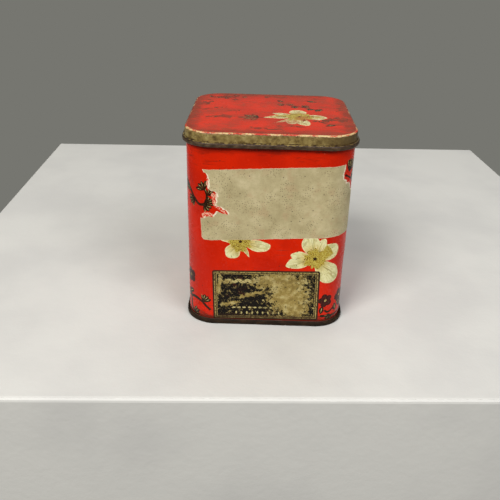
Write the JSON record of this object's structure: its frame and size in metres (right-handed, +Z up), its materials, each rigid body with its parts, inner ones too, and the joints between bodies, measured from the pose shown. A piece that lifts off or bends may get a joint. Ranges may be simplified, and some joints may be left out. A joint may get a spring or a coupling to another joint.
{
  "type": "lithographed tin",
  "caption": "Square tea caddy tin with rounded corners, double-seamed base, printed flowers, a torn paper label and a lift-off slip lid with a curled bead.",
  "frame": {"origin": "middle of the footprint, on the plane the tin stands on", "axes": "+Z up through the lid, front face with the paper label towards -Y, +X to the right seen from the front"},
  "size_m": [0.0882, 0.0882, 0.107],
  "materials": {
    "printed_body": "satin varnish over litho print, scuffed",
    "bare_base": "dull, rusted tinplate",
    "printed_lid": "satin varnish over litho print, worn at the edge",
    "label_paper": "matt, aged"
  },
  "bodies": {
    "tin": {"body_wall": "printed_body", "base_plate": "bare_base", "paper_label": "label_paper"},
    "lid": {"lid": "printed_lid"}
  },
  "joints": [
    {"name": "lid_lift", "type": "slide", "parent": "tin", "child": "lid", "axis": [0, 0, 1], "range_m": [0, 0.04]}
  ]
}
